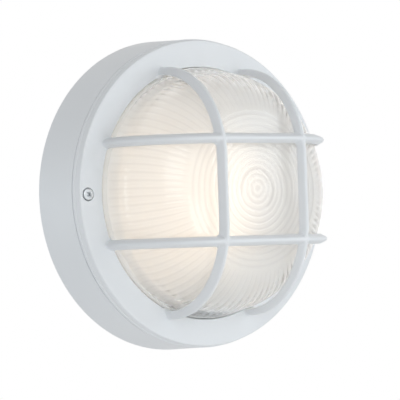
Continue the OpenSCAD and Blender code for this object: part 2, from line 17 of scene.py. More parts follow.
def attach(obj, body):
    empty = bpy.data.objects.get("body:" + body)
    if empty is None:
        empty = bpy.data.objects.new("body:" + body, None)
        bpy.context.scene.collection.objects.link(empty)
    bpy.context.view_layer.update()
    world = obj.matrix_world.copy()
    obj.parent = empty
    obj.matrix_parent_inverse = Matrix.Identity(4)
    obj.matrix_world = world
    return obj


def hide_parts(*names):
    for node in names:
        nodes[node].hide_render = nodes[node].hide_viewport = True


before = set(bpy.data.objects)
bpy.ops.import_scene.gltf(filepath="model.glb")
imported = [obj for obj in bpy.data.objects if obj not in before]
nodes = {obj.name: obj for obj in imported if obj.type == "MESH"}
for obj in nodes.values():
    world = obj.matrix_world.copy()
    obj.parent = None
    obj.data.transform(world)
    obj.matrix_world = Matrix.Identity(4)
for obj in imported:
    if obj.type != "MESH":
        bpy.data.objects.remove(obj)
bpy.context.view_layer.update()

# %% [markdown]
# ## Directions and units
#
# The drawings of such a light are made with the light lying on its back: x to the right, y up
# the wall, and depth away from the wall. On the wall, depth becomes -Y and y becomes Z. Sizes
# are written in millimetres and turned into metres once, where a mesh is made.

# %% Place drawing points on the wall
MM = 0.001


def on_wall(x, y, depth):
    """Stacks drawing coordinates in millimetres into points of the row frame in metres."""
    x, y, depth = np.broadcast_arrays(x, y, depth)
    return np.stack([x, -depth, y], axis=-1) * MM


print("10 mm right, 20 mm up, 30 mm out is", on_wall(10, 20, 30))

# %% [markdown]
# ## From a grid of points to a closed shell
#
# A surface here is an array of points with rows and columns. Neighbouring points make four-sided
# faces, the columns wrap round like the staves of a barrel, and an end row is closed with one
# point in its middle. If the volume inside comes out negative, the faces point inwards and are
# turned over. Blender could also spin a profile, but an array keeps each shape in one formula.

# %% Grid helpers
def grid_faces(rows, columns, wrap_rows):
    """Four-sided faces between neighbouring rows and columns of a grid, as point numbers."""
    i = np.arange(rows if wrap_rows else rows - 1)[:, None]
    j = np.arange(columns)[None, :]
    next_i, next_j = (i + 1) % rows, (j + 1) % columns
    corners = [i * columns + j, next_i * columns + j,
               next_i * columns + next_j, i * columns + next_j]
    return np.stack(np.broadcast_arrays(*corners), axis=-1).reshape(-1, 4)


def volume(points, quads, fans):
    """Six times the signed volume: the sum over all triangles of corner . (corner x corner)."""
    tris = np.concatenate([quads[:, [0, 1, 2]], quads[:, [0, 2, 3]], fans])
    a, b, c = points[tris[:, 0]], points[tris[:, 1]], points[tris[:, 2]]
    return np.einsum("ij,ij->", a, np.cross(b, c))


def closed_shell(grid, wrap_rows=False):
    """A closed shell from a grid whose columns wrap round. Unless the rows wrap too, each end
    row is closed by a fan of triangles to the mean of its points."""
    rows, columns = grid.shape[:2]
    points = grid.reshape(-1, 3)
    quads = grid_faces(rows, columns, wrap_rows)
    fans = np.empty((0, 3), int)
    if not wrap_rows:
        middles = np.stack([grid[0].mean(axis=0), grid[-1].mean(axis=0)])
        first = np.arange(columns)
        last = first + (rows - 1) * columns
        top, bottom = len(points), len(points) + 1
        fans = np.concatenate([
            np.stack([np.roll(first, -1), np.full(columns, top), first], axis=-1),
            np.stack([last, np.full(columns, bottom), np.roll(last, -1)], axis=-1)])
        points = np.concatenate([points, middles])
    if volume(points, quads, fans) < 0:
        quads, fans = quads[:, ::-1], fans[:, ::-1]
    return points, quads, fans


print("a grid of 3 rows and 4 columns has", len(grid_faces(3, 4, False)), "faces")

# %% [markdown]
# ## From shells to an object
#
# A casting with ribs and bosses is several shells in one object. foreach_set copies whole arrays
# into the mesh, which is much quicker than one face at a time. Faces are shaded smooth, and only
# edges that turn by more than a set angle stay crisp.

# %% Mesh helper
CREASE = 40


def make_object(name, shells, materials, sharp=CREASE, choose=None):
    """One object from several closed shells. choose gives each face its material number from the
    faces' middle points; edges sharper than the given angle in degrees stay crisp."""
    starts = np.cumsum([0] + [len(points) for points, _, _ in shells])
    points = np.concatenate([shell[0] for shell in shells])
    quads, fans = (np.concatenate([shell[kind] + start for shell, start in zip(shells, starts)])
                   for kind in (1, 2))
    loop_points = np.concatenate([quads.ravel(), fans.ravel()])
    loop_starts = np.concatenate([np.arange(len(quads)) * 4,
                                  quads.size + np.arange(len(fans)) * 3])
    mesh = bpy.data.meshes.new(name)
    mesh.vertices.add(len(points))
    mesh.vertices.foreach_set("co", points.astype(np.float32).ravel())
    mesh.loops.add(len(loop_points))
    mesh.loops.foreach_set("vertex_index", loop_points.astype(np.int32))
    mesh.polygons.add(len(loop_starts))
    mesh.polygons.foreach_set("loop_start", loop_starts.astype(np.int32))
    mesh.update(calc_edges=True)
    mesh.shade_smooth()
    mesh.set_sharp_from_angle(angle=math.radians(sharp))
    for material in materials:
        mesh.materials.append(material)
    if choose is not None:
        middles = np.concatenate([points[quads].mean(axis=1), points[fans].mean(axis=1)])
        mesh.polygons.foreach_set("material_index", choose(middles).astype(np.int32))
    piece = bpy.data.objects.new(name, mesh)
    bpy.context.scene.collection.objects.link(piece)
    print(name, "-", len(loop_starts), "faces")
    return piece


# %% [markdown]
# ## Rounded profiles and turned shapes
#
# A casting has no sharp corners: the pattern maker rounds each one. Here each corner of a
# profile becomes an arc with a radius of its own, while a Bevel modifier would round all edges
# alike. Turning a profile about an axis gives the drum, the bezel, the glass and the bosses.

# %% Profile helpers
def rounded(corners, closed=True, steps=6):
    """Replaces each corner (u, v, radius) by an arc that touches both of its sides: the arc's
    middle lies on the corner's bisector, and the arc turns from one side's normal to the other."""
    corners = np.array(corners, float)
    count, outline = len(corners), []
    for i, (u, v, radius) in enumerate(corners):
        point = np.array([u, v])
        if radius == 0 or (not closed and i in (0, count - 1)):
            outline.append(point[None])
            continue
        to_last = corners[i - 1, :2] - point
        to_next = corners[(i + 1) % count, :2] - point
        to_last, to_next = to_last / np.linalg.norm(to_last), to_next / np.linalg.norm(to_next)
        half = math.acos(np.clip(to_last @ to_next, -1, 1)) / 2
        bisector = (to_last + to_next) / np.linalg.norm(to_last + to_next)
        middle = point + bisector * radius / math.sin(half)
        start = point + to_last * radius / math.tan(half) - middle
        end = point + to_next * radius / math.tan(half) - middle
        turn = math.pi - 2 * half
        share = np.linspace(0, 1, steps)[:, None]
        arc = np.sin((1 - share) * turn) * start + np.sin(share * turn) * end
        outline.append(middle + arc / math.sin(turn))
    return np.concatenate(outline)


def full_circle(steps):
    """Angles all round in equal steps, as one row."""
    return np.linspace(0, 2 * np.pi, steps, endpoint=False)[None, :]


def turned(profile, around, centre):
    """Turns a profile of (radius, depth) about an axis that stands on the wall: each point goes
    to radius times (cos, sin) of the angle from the centre, and its depth stays."""
    angle = full_circle(around)
    radius, depth = profile[:, :1], profile[:, 1:2]
    x, y = centre
    return on_wall(x + radius * np.cos(angle), y + radius * np.sin(angle), depth)


print("a square with rounded corners has",
      len(rounded([(0, 0, 1), (9, 0, 1), (9, 9, 1), (0, 9, 1)])), "points")

# %% [markdown]
# ## Camera
#
# The photograph was taken from the left of the light, almost level with it and from far away, so
# the lens is long. A camera can be dragged into place by hand, but a direction, a distance and a
# roll are numbers that can be fitted: the outline, the seam and the bar crossings gave these.
# Roll is the small turn of the picture about the line of sight.

# %% Camera
AZIMUTH, ELEVATION, ROLL = np.radians([-37.89, -1.29, -1.89])
DISTANCE, LENS_MM, SENSOR_MM, FARTHEST = 1.985, 214.4, 36, 60
AIM = np.array([0.03456, 0.0, -0.00425])
back = np.array([math.sin(AZIMUTH) * math.cos(ELEVATION),
                 -math.cos(AZIMUTH) * math.cos(ELEVATION), math.sin(ELEVATION)])
level = np.array([math.cos(AZIMUTH), math.sin(AZIMUTH), 0.0])
upward = np.cross(back, level)
right = level * math.cos(ROLL) + upward * math.sin(ROLL)
upright = -level * math.sin(ROLL) + upward * math.cos(ROLL)

camera = bpy.data.objects.new("camera", bpy.data.cameras.new("camera"))
bpy.context.scene.collection.objects.link(camera)
camera.data.sensor_width = SENSOR_MM
camera.data.lens = LENS_MM
camera.data.clip_end = FARTHEST
camera.matrix_world = Matrix.Translation(AIM + back * DISTANCE) @ Matrix(
    np.stack([right, upright, back], axis=1).tolist()).to_4x4()
bpy.context.scene.camera = camera
print("camera at", [round(v, 3) for v in camera.location])

# %% [markdown]
# ## Background
#
# The photograph shows the light on pure white, in the soft, even light of a studio. The world
# does both: it is pure white for the camera, in reflections and through the glass, and it lights
# the object with a dimmer, slightly warm white. Light Path tells the two kinds of ray apart. A
# white board behind the light would look the same from here, but it would end in other views.

# %% World
AMBIENT_COLOUR, AMBIENT_STRENGTH = (1.0, 0.97, 0.94, 1), 0.41


def set_inputs(node, **values):
    """Sets a node's input sockets by name, where _ stands for a space."""
    for socket, value in values.items():
        node.inputs[socket.replace("_", " ")].default_value = value


scene = bpy.context.scene
scene.view_settings.view_transform = "Standard"
world = bpy.data.worlds.new("studio")
scene.world = world
world.use_nodes = True
tree = world.node_tree
ambient = tree.nodes["Background"]
set_inputs(ambient, Color=AMBIENT_COLOUR, Strength=AMBIENT_STRENGTH)
white = tree.nodes.new("ShaderNodeBackground")
set_inputs(white, Color=(1, 1, 1, 1), Strength=1.0)
path = tree.nodes.new("ShaderNodeLightPath")
seen = tree.nodes.new("ShaderNodeMath")
seen_too = tree.nodes.new("ShaderNodeMath")
seen.operation = seen_too.operation = "MAXIMUM"
mix = tree.nodes.new("ShaderNodeMixShader")
tree.links.new(path.outputs["Is Camera Ray"], seen.inputs[0])
tree.links.new(path.outputs["Is Glossy Ray"], seen.inputs[1])
tree.links.new(seen.outputs[0], seen_too.inputs[0])
tree.links.new(path.outputs["Is Transmission Ray"], seen_too.inputs[1])
tree.links.new(seen_too.outputs[0], mix.inputs[0])
tree.links.new(ambient.outputs[0], mix.inputs[1])
tree.links.new(white.outputs[0], mix.inputs[2])
tree.links.new(mix.outputs[0], tree.nodes["World Output"].inputs["Surface"])
print("ambient strength", AMBIENT_STRENGTH)

# %% [markdown]
# ## Lamps
#
# Five large, weak lamps shape the casting. Three stand in front, so that the surfaces that face
# the viewer are a little brighter than the sides. One is bluer and stands behind at the left,
# where it grazes the side of the drum, and one looks down from above and behind. Small lamps
# would draw hard shadows of the bars on the glass, which the photograph doesn't have.

# %% Lamps
LAMP_SIZE, LAMP_REACH = 0.7, 1.3
COOL_WHITE, SKY_BLUE = (0.93, 0.98, 1.0), (0.82, 0.93, 1.0)


def soft_lamp(name, azimuth, elevation, watts, colour=COOL_WHITE):
    """A square lamp that looks at the origin, the middle of the light's back. Azimuth 0 is
    straight in front and negative is left; both angles are in degrees."""
    lamp = bpy.data.objects.new(name, bpy.data.lights.new(name, "AREA"))
    lamp.data.size, lamp.data.energy, lamp.data.color = LAMP_SIZE, watts, colour
    a, e = math.radians(azimuth), math.radians(elevation)
    lamp.location = LAMP_REACH * Vector((math.sin(a) * math.cos(e),
                                         -math.cos(a) * math.cos(e), math.sin(e)))
    lamp.rotation_euler = (-lamp.location).to_track_quat("-Z", "Y").to_euler()
    scene.collection.objects.link(lamp)
    print(name, "-", watts, "W at", [round(v, 2) for v in lamp.location])


soft_lamp("left_back", -130, 0, 2.7, SKY_BLUE)
soft_lamp("left_front", -30, 15, 3.4)
soft_lamp("low_front", 10, -18, 3.1)
soft_lamp("right_front", 40, 15, 3.3)
soft_lamp("top_back", 180, 60, 0.9)

# %% [markdown]
# ## Floor
#
# The floor is one square of pale paper, well below the light, so that it is out of the picture
# but throws a little light up from below. A weak emission keeps it pale in the other views.

# %% Floor
FLOOR_Z, FLOOR_HALF, FLOOR_GREY, FLOOR_GLOW = -0.45, 1.2, 0.88, 0.19
floor_mesh = bpy.data.meshes.new("floor")
floor_mesh.from_pydata([(u * FLOOR_HALF, v * FLOOR_HALF, FLOOR_Z) for u, v in
                        ((-1, -1), (1, -1), (1, 1), (-1, 1))], [], [(0, 1, 2, 3)])
floor = bpy.data.objects.new("floor", floor_mesh)
scene.collection.objects.link(floor)
paper = bpy.data.materials.new("floor_paper")
paper.use_nodes = True
set_inputs(paper.node_tree.nodes["Principled BSDF"],
           Base_Color=(FLOOR_GREY, FLOOR_GREY, FLOOR_GREY, 1), Roughness=0.9,
           Emission_Color=(1, 1, 1, 1), Emission_Strength=FLOOR_GLOW)
floor_mesh.materials.append(paper)
print("floor", -FLOOR_Z, "m below the middle of the light")

# %% [markdown]
# ## Finishes
#
# Each finish is a Principled shader with its own fine structure. The patterns read Object
# coordinates in metres, so a scale of 700 gives a grain a little over a millimetre wide. A
# powder coat has a faint orange peel, pressed glass is slightly wavy, plated steel has a fine
# grain, and rubber is dull. Painted pictures would do it too, but noise has no seam and no end.

# %% Finish helpers
def shader_of(material):
    """The Principled shader of a material."""
    return material.node_tree.nodes["Principled BSDF"]


def object_noise(material, scale, detail=2.0):
    """A noise pattern on Object coordinates, as a number from 0 to 1."""
    tree = material.node_tree
    place = tree.nodes.new("ShaderNodeTexCoord")
    noise = tree.nodes.new("ShaderNodeTexNoise")
    set_inputs(noise, Scale=scale, Detail=detail)
    tree.links.new(place.outputs["Object"], noise.inputs["Vector"])
    return noise.outputs["Fac"]


def add_bump(material, height, depth_mm):
    """Tilts the surface's normal as if a height from 0 to 1 ran over a depth in mm."""
    tree = material.node_tree
    bump = tree.nodes.new("ShaderNodeBump")
    set_inputs(bump, Strength=1.0, Distance=depth_mm * MM)
    tree.links.new(height, bump.inputs["Height"])
    tree.links.new(bump.outputs["Normal"], shader_of(material).inputs["Normal"])


def vary(material, socket, number, low, high, start=0.0, end=1.0):
    """Lets a socket run from low to high, colours or numbers, as a number runs from start to
    end."""
    tree = material.node_tree
    ramp = tree.nodes.new("ShaderNodeValToRGB")
    for element, position, value in zip(ramp.color_ramp.elements, (start, end), (low, high)):
        element.position = position
        element.color = (*value, 1) if hasattr(value, "__len__") else (value, value, value, 1)
    tree.links.new(number, ramp.inputs["Fac"])
    tree.links.new(ramp.outputs["Color"], shader_of(material).inputs[socket])


print("a grain of scale 700 is", round(1000 / 700, 1), "mm wide")

# %% [markdown]
# ## One finish
#
# A finish has plain values and up to three patterns: a grain that tilts the surface, a tone that
# shifts its colour in patches, and a shine that shifts its roughness. With one function for all
# of them, each finish fits in two or three lines.

# %% Finish recipe
PATCH_FROM, PATCH_TO = 0.35, 0.65


def finish(name, colour, roughness, metallic=0.0, grain=None, tone=None, shine=None, **more):
    """A finish with a colour, a grain of (scale, depth in mm), a tone of (scale, second colour)
    and a shine of (scale, second roughness). Other sockets are set by name."""
    material = bpy.data.materials.new(name)
    material.use_nodes = True
    set_inputs(shader_of(material), Base_Color=(*colour, 1), Roughness=roughness,
               Metallic=metallic, **more)
    if grain:
        add_bump(material, object_noise(material, grain[0], 3), grain[1])
    if tone:
        vary(material, "Base Color", object_noise(material, tone[0]), colour, tone[1],
             PATCH_FROM, PATCH_TO)
    if shine:
        vary(material, "Roughness", object_noise(material, shine[0]), roughness, shine[1],
             PATCH_FROM, PATCH_TO)
    return material


print("patches: first value below", PATCH_FROM, "of the noise, second above", PATCH_TO)

# %% [markdown]
# ## Glass that lets lamplight through
#
# A path tracer finds a lamp behind solid glass only by chance. So each glass is a Principled
# shader for everything that is seen, and a plain clear film for the rays that look for lamps.
# Outside, the dome is a little milky, and milkier at its foot. A number stored at the mesh's
# points, 1 in each pressed valley and less on the bulges, paints shade into the glass's colour:
# the valleys are painted a little greyer, standing in for the light that the ribs bend away, so
# that ribs and rings show more clearly.

# %% Outer glass
def mix_in(material, shader_type, colour):
    """Mixes a second shader into what the surface shows so far. Gives the mix's factor, which is
    0 for the old shader alone and 1 for the new one alone."""
    tree = material.node_tree
    shader = tree.nodes.new(shader_type)
    set_inputs(shader, Color=(*colour, 1))
    mix = tree.nodes.new("ShaderNodeMixShader")
    surface = tree.nodes["Material Output"].inputs["Surface"]
    tree.links.new(surface.links[0].from_socket, mix.inputs[1])
    tree.links.new(shader.outputs[0], mix.inputs[2])
    tree.links.new(mix.outputs[0], surface)
    return mix.inputs["Fac"]


def let_lamps_through(material, colour):
    """Mixes in a Transparent shader of the given colour where Light Path finds a shadow ray."""
    share = mix_in(material, "ShaderNodeBsdfTransparent", colour)
    path = material.node_tree.nodes.new("ShaderNodeLightPath")
    material.node_tree.links.new(path.outputs["Is Shadow Ray"], share)
    return material


def stored_number(material, name):
    """A number that the mesh stores at its points under a name."""
    number = material.node_tree.nodes.new("ShaderNodeAttribute")
    number.attribute_name = name
    return number.outputs["Fac"]


PAINTED_SHADE_NAME = "line"
dome_outside = let_lamps_through(
    finish("pressed_glass", (0.97, 0.975, 0.97), 0.15, grain=(90, 0.05),
           Transmission_Weight=0.78, IOR=1.5), (0.9, 0.88, 0.85))
# Painted shade: the glass's colour turns greyer where the stored number marks rib valleys, bulges
# and rings.
vary(dome_outside, "Base Color", stored_number(dome_outside, PAINTED_SHADE_NAME),
     (0.99, 0.99, 0.985), (0.82, 0.82, 0.83))
dome_foot = let_lamps_through(
    finish("milky_glass", (0.97, 0.975, 0.96), 0.2, grain=(90, 0.05),
           Transmission_Weight=0.4, IOR=1.5), (0.6, 0.59, 0.57))
print("outer glass:", dome_outside.name, dome_foot.name)

# %% [markdown]
# ## Etched glass
#
# Inside, the dome is etched dull, so that it spreads the bulb's light over the whole dish. A
# high roughness does this for what shines straight through, and a share of a Translucent shader
# for light from all sides. A very fine bump would scatter light as well, but it needs far more
# samples before it looks smooth.

# %% Inner glass
SPREAD_COLOUR, SPREAD_SHARE = (0.84, 0.85, 0.87), 0.1
dome_inside = finish("etched_glass", (0.885, 0.905, 0.93), 1.0, Transmission_Weight=0.9, IOR=1.5)
mix_in(dome_inside, "ShaderNodeBsdfTranslucent", SPREAD_COLOUR).default_value = SPREAD_SHARE
let_lamps_through(dome_inside, (0.5, 0.49, 0.47))
print("inner glass:", dome_inside.name, "with", SPREAD_SHARE, "of its light spread evenly")

# %% [markdown]
# ## The glow of the bulb
#
# An opal bulb sends most of its light out near its neck, where its light source sits, and less
# from its crown. So the emission changes with the height on the bulb. A lamp inside a milky
# globe would be truer, but much noisier. The fixed strength is what a viewer shows that doesn't
# read the nodes.

# %% Bulb finishes
NECK_LOW, NECK_HIGH, NECK_GLOW, CROWN_GLOW = -45, -10, 2.8, 1.0


def glow_by_height(material, low, high, glow_low, glow_high):
    """Lets the emission strength run from glow_low to glow_high between two heights in mm."""
    tree = material.node_tree
    place = tree.nodes.new("ShaderNodeTexCoord")
    height = tree.nodes.new("ShaderNodeSeparateXYZ")
    glow = tree.nodes.new("ShaderNodeMapRange")
    set_inputs(glow, From_Min=low * MM, From_Max=high * MM, To_Min=glow_low, To_Max=glow_high)
    tree.links.new(place.outputs["Object"], height.inputs[0])
    tree.links.new(height.outputs["Z"], glow.inputs["Value"])
    tree.links.new(glow.outputs["Result"], shader_of(material).inputs["Emission Strength"])


lit_opal = finish("lit_opal", (0.95, 0.93, 0.88), 0.3, tone=(30, (0.93, 0.9, 0.84)),
                  Emission_Color=(1.0, 0.74, 0.49, 1), Emission_Strength=1.25)
glow_by_height(lit_opal, NECK_LOW, NECK_HIGH, NECK_GLOW, CROWN_GLOW)
nickel = finish("nickel_plate", (0.72, 0.71, 0.68), 0.22, 1.0, grain=(1200, 0.004),
                shine=(300, 0.32))
pitch = finish("bulb_insulator", (0.03, 0.03, 0.035), 0.35, grain=(700, 0.02),
               tone=(200, (0.05, 0.05, 0.055)))
print("glow of", NECK_GLOW, "at the neck and", CROWN_GLOW, "at the crown")

# %% [markdown]
# ## Coatings, metals, rubber and plastic
#
# These follow what such lights are made of: a white powder coat on the casting, enamel on the
# pressed tray, stainless screws outside and zinc-plated ones inside, brass where current runs,
# porcelain and nylon round it. Each has a slightly uneven colour or shine, because an even
# surface looks like a drawing.

# %% The other finishes
white_coat = finish("white_powder_coat", (0.78, 0.808, 0.84), 0.42, grain=(650, 0.02),
                    tone=(9, (0.765, 0.795, 0.83)), shine=(40, 0.48))
stainless = finish("stainless_steel", (0.58, 0.6, 0.62), 0.45, 1.0, grain=(1500, 0.005),
                   shine=(500, 0.55))
zinc = finish("zinc_plate", (0.66, 0.68, 0.7), 0.35, 1.0, grain=(900, 0.006),
              tone=(120, (0.6, 0.63, 0.67)), shine=(250, 0.5))
brass = finish("brass", (0.78, 0.58, 0.27), 0.3, 1.0, grain=(800, 0.005),
               tone=(60, (0.7, 0.5, 0.24)))
enamel = finish("white_enamel", (0.95, 0.955, 0.95), 0.25, grain=(250, 0.03),
                tone=(15, (0.88, 0.885, 0.88)))
porcelain = finish("glazed_porcelain", (0.87, 0.85, 0.8), 0.12, grain=(160, 0.05),
                   tone=(25, (0.84, 0.82, 0.76)))
nylon = finish("white_nylon", (0.84, 0.84, 0.82), 0.45, grain=(1100, 0.01),
               tone=(60, (0.81, 0.81, 0.79)))
brown_lead = finish("brown_insulation", (0.22, 0.1, 0.05), 0.5, grain=(1500, 0.01),
                    tone=(80, (0.19, 0.085, 0.04)))
blue_lead = finish("blue_insulation", (0.05, 0.13, 0.42), 0.5, grain=(1500, 0.01),
                   tone=(80, (0.04, 0.11, 0.37)))
black_rubber = finish("black_rubber", (0.025, 0.025, 0.026), 0.7, grain=(1300, 0.02),
                      tone=(70, (0.035, 0.035, 0.036)))
grey_rubber = finish("grey_rubber", (0.6, 0.61, 0.62), 0.7, grain=(1300, 0.02),
                     tone=(70, (0.56, 0.57, 0.58)))
foam = finish("closed_cell_foam", (0.05, 0.05, 0.052), 0.9, grain=(1800, 0.12),
              tone=(900, (0.075, 0.075, 0.078)))
print("finishes:", len(bpy.data.materials))

# %% [markdown]
# ## The cast housing
#
# The housing is a shallow drum. Turning one closed profile gives its pan, the ledge that the
# glass sits on, the rim and the skirt, which leans in by two millimetres so that it leaves the
# mould. Webs and bosses are shapes of their own. Holes across several shells are hard to write
# as one grid, so a Boolean modifier cuts them, and its result replaces the mesh.

# %% Housing helpers
BOSS_AROUND, END_SHARE, WEB_DRAFT = 32, 0.3, 0.3


def cylinder_shell(x, y, low, high, radius, edge=0.6):
    """A plain boss between two depths: a turned profile with rounded ends, whose flat ends begin
    at a share of the radius and are closed to their middles."""
    start = radius * END_SHARE
    profile = rounded([(start, low, 0), (radius, low, edge), (radius, high, edge),
                       (start, high, 0)], closed=False, steps=4)
    return closed_shell(turned(profile, BOSS_AROUND, (x, y)))


def ring_shell(corners, around, centre=(0, 0)):
    """A ring with a closed section, turned about an axis that stands on the wall."""
    return closed_shell(turned(rounded(corners), around, centre), wrap_rows=True)


def web_shell(angle, inner, outer, low, high, thickness):
    """A flat web: a rounded four-sided section, across and depth, carried outwards along a
    radius. It gets thicker by a small draft away from the wall, so that it leaves the mould."""
    near, far = thickness / 2, thickness / 2 + WEB_DRAFT
    section = rounded([(-near, low, 0.9), (near, low, 0.9), (far, high, 0.3), (-far, high, 0.3)],
                      steps=4)
    reach = np.linspace(inner, outer, 4)[:, None]
    across, depth = section[None, :, 0], section[None, :, 1]
    x = reach * math.cos(angle) - across * math.sin(angle)
    y = reach * math.sin(angle) + across * math.cos(angle)
    return closed_shell(on_wall(x, y, depth))


def cut_away(piece, cutters):
    """Cuts the cutters out of a piece with Boolean modifiers and keeps the resulting mesh."""
    for cutter in cutters:
        modifier = piece.modifiers.new("cut", "BOOLEAN")
        modifier.operation, modifier.object, modifier.solver = "DIFFERENCE", cutter, "EXACT"
    bpy.context.view_layer.update()
    evaluated = piece.evaluated_get(bpy.context.evaluated_depsgraph_get())
    mesh = bpy.data.meshes.new_from_object(evaluated)
    piece.modifiers.clear()
    old, piece.data = piece.data, mesh
    bpy.data.meshes.remove(old)
    for cutter in cutters:
        bpy.data.objects.remove(cutter)
    mesh.shade_smooth()
    mesh.set_sharp_from_angle(angle=math.radians(CREASE))
    print(piece.name, "after cutting -", len(mesh.polygons), "faces")


print("a plain boss has", len(cylinder_shell(0, 0, 0, 10, 5)[0]), "points")

# %% [markdown]
# The drum's profile is written as corners of (radius, depth, rounding), from the cable entry out
# to the rim, down the skirt to the wall and back along the inside. A narrow step in the rim makes
# half of the fine shadow gap that shows as a dark line round the light.

# %% Housing
BODY_R, RIM_R, RIM_IN = 127.0, 124.8, 121.0
SEAM, SEAT, PAN_R, WALL = 43.0, 37.5, 98.0, 3.0
ENTRY_R, PAN_LOW, PAN_TOP = 11, 2, 5
GAP_R, GAP_END, GAP_LOW, GAP_HIGH = RIM_R - 1.8, RIM_R - 0.3, 0.5, 0.3
AROUND, AROUND_SMALL = 360, 72
drum = ring_shell([
    (ENTRY_R, PAN_TOP, 0.4), (PAN_R, PAN_TOP, 2.5), (PAN_R, SEAT, 0.6), (RIM_IN, SEAT, 0.8),
    (RIM_IN, SEAM, 0.3), (GAP_R, SEAM, 0.1), (GAP_R, SEAM - GAP_LOW, 0.1),
    (GAP_END, SEAM - GAP_LOW, 0.1), (RIM_R, SEAM - 0.8, 0.1), (BODY_R, 0, 0.8),
    (BODY_R - WALL, 0, 0.6), (RIM_R - WALL, SEAT - WALL, 1.5), (PAN_R + WALL, SEAT - WALL, 1.5),
    (PAN_R + WALL, PAN_LOW, 1.0), (ENTRY_R, PAN_LOW, 0.4)], AROUND)
print("drum:", len(drum[0]), "points")

# %% [markdown]
# Eight webs stiffen the hollow skirt at the back, and two tall bosses at its sides take the
# cover screws. Inside the pan, low bosses carry the tray, the lampholder's bracket, the terminal
# block and the earth screw. They start below the surface of the pan's floor, so that boss and
# floor melt together as in a casting.

# %% Webs, bosses and wall holes
SIDES = (-1, 1)
SCREW_R, SCREW_BOSS_LOW, SCREW_BOSS_R = 115.4, 11, 5.8
WEBS, WEB_IN, WEB_OUT, WEB_LOW, WEB_TOP, WEB_T = 8, 99.5, 121.9, 4, 35.5, 2.5
BOSS_LOW, TRAY_SCREW_R = 4, 62
WALL_HOLE_X, WALL_HOLE_R, DRILL_LOW, DRILL_TOP = 44.45, 2.6, -2, 8
shells = [drum]
shells += [web_shell(turn, WEB_IN, WEB_OUT, WEB_LOW, WEB_TOP, WEB_T)
           for turn in np.arange(WEBS) * 2 * math.pi / WEBS]
shells += [cylinder_shell(side * SCREW_R, 0, SCREW_BOSS_LOW, SEAT + 1, SCREW_BOSS_R)
           for side in SIDES]
tray_bosses = [(TRAY_SCREW_R * math.cos(t), TRAY_SCREW_R * math.sin(t), 4, 5.5)
               for t in np.radians([45, 135, 225, 315])]
bracket_bosses = [(-10, -62, 4, 5.5), (10, -62, 4, 5.5)]
block_boss, earth_boss = (0, 62, 5, 2.5), (30, 66, 5, 2)
shells += [cylinder_shell(x, y, BOSS_LOW, PAN_TOP + tall, r)
           for x, y, r, tall in [*tray_bosses, *bracket_bosses, block_boss, earth_boss]]
housing = make_object("housing_casting", shells, [white_coat])
drills = [make_object("drill", [
    cylinder_shell(side * WALL_HOLE_X, 0, DRILL_LOW, DRILL_TOP, WALL_HOLE_R, edge=0.1)], [])
    for side in SIDES]
cut_away(housing, drills)
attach(housing, "root")
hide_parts("base_housing")

# %% [markdown]
# ## The bezel
#
# The bezel is the wide flat ring that holds the glass down. A step in its lower edge makes the
# other half of the shadow gap. Each cover screw sits in a round pocket: the pocket is cut from
# the ring, and a cup of the same casting gives it a floor. The cups go into the object of the
# bars, because here the cut would go through them too. Ring and bars are one casting and could
# be one mesh, but a turned ring stays perfectly round, and the bars only have to end inside it.

# %% Bezel
FACE, OPENING_R, LIP_LOW, LIP_R, PLATE_LOW = 51.6, 101.9, 46.5, 108.2, 48
POCKET_R, POCKET_FLOOR, CUT_IN, CUT_LOW, CUT_TOP = 5.2, 48.0, 2, 47, 54
CUP_IN, CUP_OUT, CUP_LOW, CUP_TOP = 2.2, 6.4, 43.1, 50
bezel = make_object("bezel_casting", [ring_shell([
    (RIM_IN, SEAM, 0.3), (GAP_R, SEAM, 0.1), (GAP_R, SEAM + GAP_HIGH, 0.1),
    (GAP_END, SEAM + GAP_HIGH, 0.1), (RIM_R, SEAM + 0.6, 0.2), (RIM_R, SEAM + 3, 0.4),
    (RIM_R - 0.7, SEAM + 3.4, 0.15), (RIM_R - 1.4, FACE, 1.4), (OPENING_R, FACE, 0.9),
    (OPENING_R, LIP_LOW, 0.3), (LIP_R, LIP_LOW, 0.3), (LIP_R, PLATE_LOW, 0.3),
    (RIM_IN, PLATE_LOW, 0.5)], AROUND)], [white_coat])
pocket_profile = rounded([
    (CUT_IN, CUT_LOW, 0), (POCKET_R, CUT_LOW, 0), (POCKET_R, FACE - 0.25, 0),
    (POCKET_R + 0.3, FACE + 0.05, 0), (POCKET_R + 0.3, CUT_TOP, 0), (CUT_IN, CUT_TOP, 0)],
    closed=False)
pockets = [make_object("pocket", [
    closed_shell(turned(pocket_profile, AROUND_SMALL, (side * SCREW_R, 0)))], [])
    for side in SIDES]
cut_away(bezel, pockets)
CUP_REST = POCKET_R + 0.02
cups = [ring_shell([(CUP_IN, CUP_LOW, 0.2), (CUP_OUT, CUP_LOW, 0.5), (CUP_OUT, CUP_TOP, 0.05),
                    (CUP_REST, CUP_TOP, 0.05), (CUP_REST, POCKET_FLOOR, 0.3),
                    (CUP_IN, POCKET_FLOOR, 0.2)], AROUND_SMALL, (side * SCREW_R, 0))
        for side in SIDES]

# %% [markdown]
# ## The guard bars
#
# Four bars cross over the glass: each is one profile, wide at its back and rounded in front,
# carried along a path that goes up, round a large corner, across, and down again. Blender could
# bevel a curve with the profile, but here every point of the path also says how the profile
# changes: the legs are a little thinner than the front, and the back slopes outwards.

